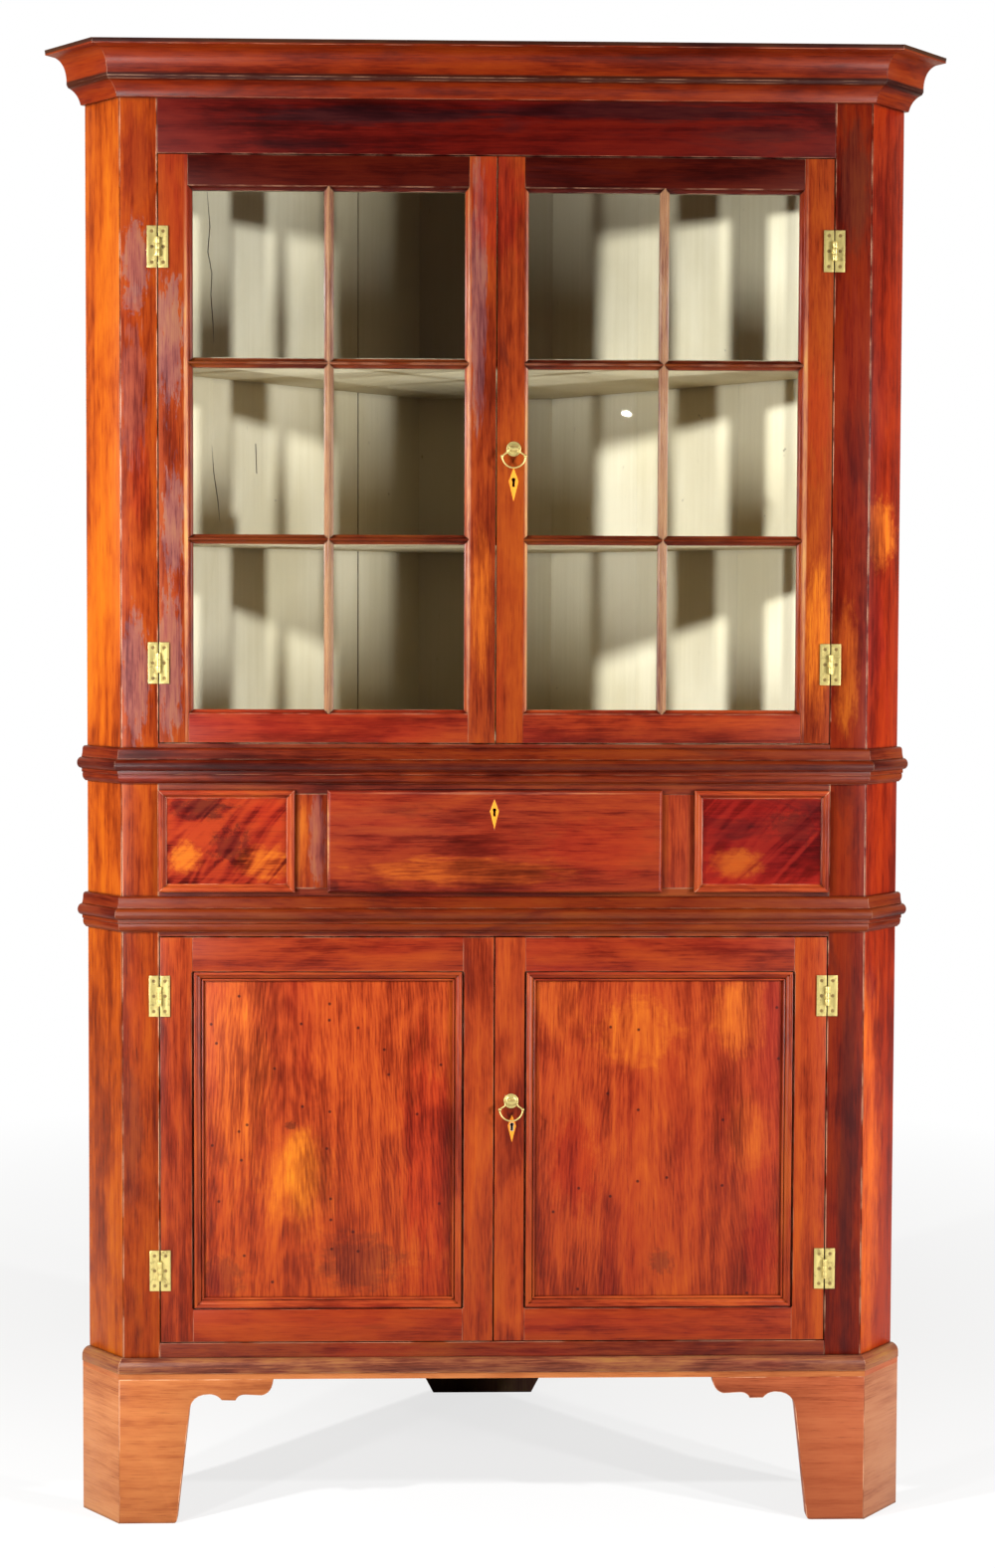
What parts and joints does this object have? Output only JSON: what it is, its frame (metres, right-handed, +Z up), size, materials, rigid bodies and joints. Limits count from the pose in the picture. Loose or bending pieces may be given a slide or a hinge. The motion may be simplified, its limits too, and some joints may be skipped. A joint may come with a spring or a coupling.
{
  "type": "corner cupboard",
  "caption": "Tall corner cupboard with glazed doors over a drawer and panelled doors, canted returns, moulded cornice and bracket feet.",
  "frame": {"origin": "bottom centre of the whole object's box, on the floor", "axes": "+Z up, the doors face -Y, the corner of the room is at +Y, +X to the right as seen from the front"},
  "size_m": [1.303, 0.6134, 2.145],
  "materials": {
    "cherry_case": "shellac, satin",
    "cherry_moulding": "shellac, satin, darker",
    "inside_paint": "old cream paint",
    "plain_board": "unfinished",
    "brass": "aged",
    "window_glass": "old, clear"
  },
  "bodies": {
    "case": {"back_left": "inside_paint", "back_right": "inside_paint", "base_moulding": "cherry_moulding", "bottom_rail": "cherry_case", "corner_board": "inside_paint", "cornice": "cherry_moulding", "dust_board": "plain_board", "floor_board": "plain_board", "foot_left": "cherry_moulding", "foot_right": "cherry_moulding", "frieze_panel_left": "cherry_case", "frieze_panel_right": "cherry_case", "frieze_post_left": "cherry_case", "frieze_post_right": "cherry_case", "hinge_lower_left_bottom_frame_leaf": "brass", "hinge_lower_left_top_frame_leaf": "brass", "hinge_lower_right_bottom_frame_leaf": "brass", "hinge_lower_right_top_frame_leaf": "brass", "hinge_upper_left_bottom_frame_leaf": "brass", "hinge_upper_left_top_frame_leaf": "brass", "hinge_upper_right_bottom_frame_leaf": "brass", "hinge_upper_right_top_frame_leaf": "brass", "mid_moulding": "cherry_moulding", "mid_rail": "cherry_case", "return_left": "cherry_case", "return_right": "cherry_case", "shelf_lower": "inside_paint", "shelf_upper": "inside_paint", "stile_left": "cherry_case", "stile_right": "cherry_case", "top_board": "plain_board", "top_rail": "cherry_case", "waist_board": "inside_paint", "waist_moulding": "cherry_moulding", "waist_rail": "cherry_case"},
    "drawer": {"drawer_back": "plain_board", "drawer_bottom": "plain_board", "drawer_front": "cherry_case", "drawer_side_left": "plain_board", "drawer_side_right": "plain_board"},
    "door_upper_left": {"door_upper_left_glass": "window_glass", "door_upper_left_sash": "cherry_case", "hinge_upper_left_bottom_door_leaf": "brass", "hinge_upper_left_top_door_leaf": "brass"},
    "door_upper_right": {"door_upper_right_glass": "window_glass", "door_upper_right_sash": "cherry_case", "hinge_upper_right_bottom_door_leaf": "brass", "hinge_upper_right_top_door_leaf": "brass", "pull_upper_plate": "brass"},
    "door_lower_left": {"door_lower_left_frame": "cherry_case", "door_lower_left_panel": "cherry_case", "hinge_lower_left_bottom_door_leaf": "brass", "hinge_lower_left_top_door_leaf": "brass"},
    "door_lower_right": {"door_lower_right_frame": "cherry_case", "door_lower_right_panel": "cherry_case", "hinge_lower_right_bottom_door_leaf": "brass", "hinge_lower_right_top_door_leaf": "brass", "pull_lower_plate": "brass"},
    "bail_upper": {"pull_upper_bail": "brass"},
    "bail_lower": {"pull_lower_bail": "brass"}
  },
  "joints": [
    {"name": "door_upper_left_swing", "type": "hinge", "parent": "case", "child": "door_upper_left", "pos_m": [-0.48925, -0.24019, 1.5734], "axis": [0, 0, -1], "range_deg": [0, 140]},
    {"name": "door_upper_right_swing", "type": "hinge", "parent": "case", "child": "door_upper_right", "pos_m": [0.48925, -0.24019, 1.5734], "axis": [0, 0, 1], "range_deg": [0, 140]},
    {"name": "door_lower_left_swing", "type": "hinge", "parent": "case", "child": "door_lower_left", "pos_m": [-0.48925, -0.24019, 0.5653], "axis": [0, 0, -1], "range_deg": [0, 140]},
    {"name": "door_lower_right_swing", "type": "hinge", "parent": "case", "child": "door_lower_right", "pos_m": [0.48925, -0.24019, 0.5653], "axis": [0, 0, 1], "range_deg": [0, 140]},
    {"name": "drawer_slide", "type": "slide", "parent": "case", "child": "drawer", "axis": [0, -1, 0], "range_m": [0, 0.28]},
    {"name": "bail_upper_swing", "type": "hinge", "parent": "door_upper_right", "child": "bail_upper", "pos_m": [0.025, -0.24569, 1.577], "axis": [-1, 0, 0], "range_deg": [0, 100]},
    {"name": "bail_lower_swing", "type": "hinge", "parent": "door_lower_right", "child": "bail_lower", "pos_m": [0.025, -0.24569, 0.623], "axis": [-1, 0, 0], "range_deg": [0, 100]}
  ]
}
